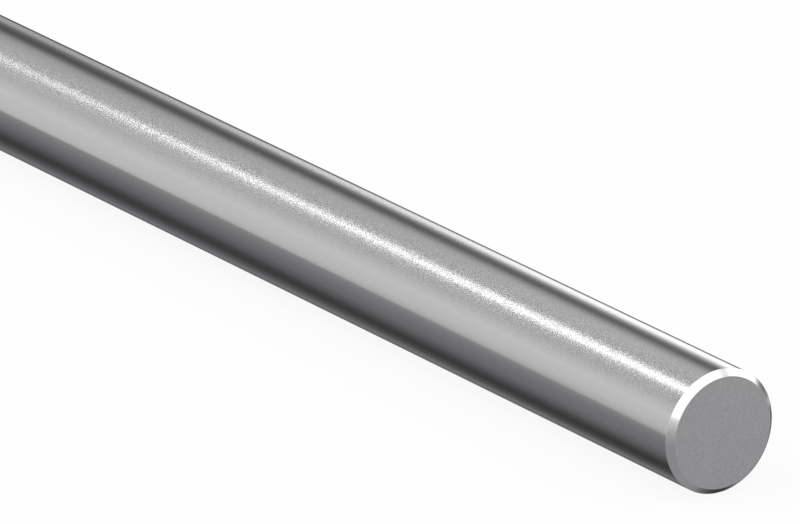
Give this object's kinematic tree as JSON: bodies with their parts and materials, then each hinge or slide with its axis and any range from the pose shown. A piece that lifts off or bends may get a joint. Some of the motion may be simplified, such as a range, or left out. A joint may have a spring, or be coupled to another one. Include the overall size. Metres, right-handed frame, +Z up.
{
  "type": "linear shaft",
  "caption": "Straight round steel shaft, ground and polished, with a 45 degree chamfer at each end, for linear bearings to slide along.",
  "frame": {"origin": "on the shaft's axis, halfway along its length", "axes": "+X along the shaft, towards the end that the picture shows; +Z up, with the shaft lying level on its side"},
  "size_m": [0.3048, 0.0254, 0.0254],
  "materials": {
    "ground_steel": "hardened bearing steel, ground and polished, with turned end faces and chamfers"
  },
  "bodies": {
    "root": {"shaft": "ground_steel"}
  },
  "joints": []
}
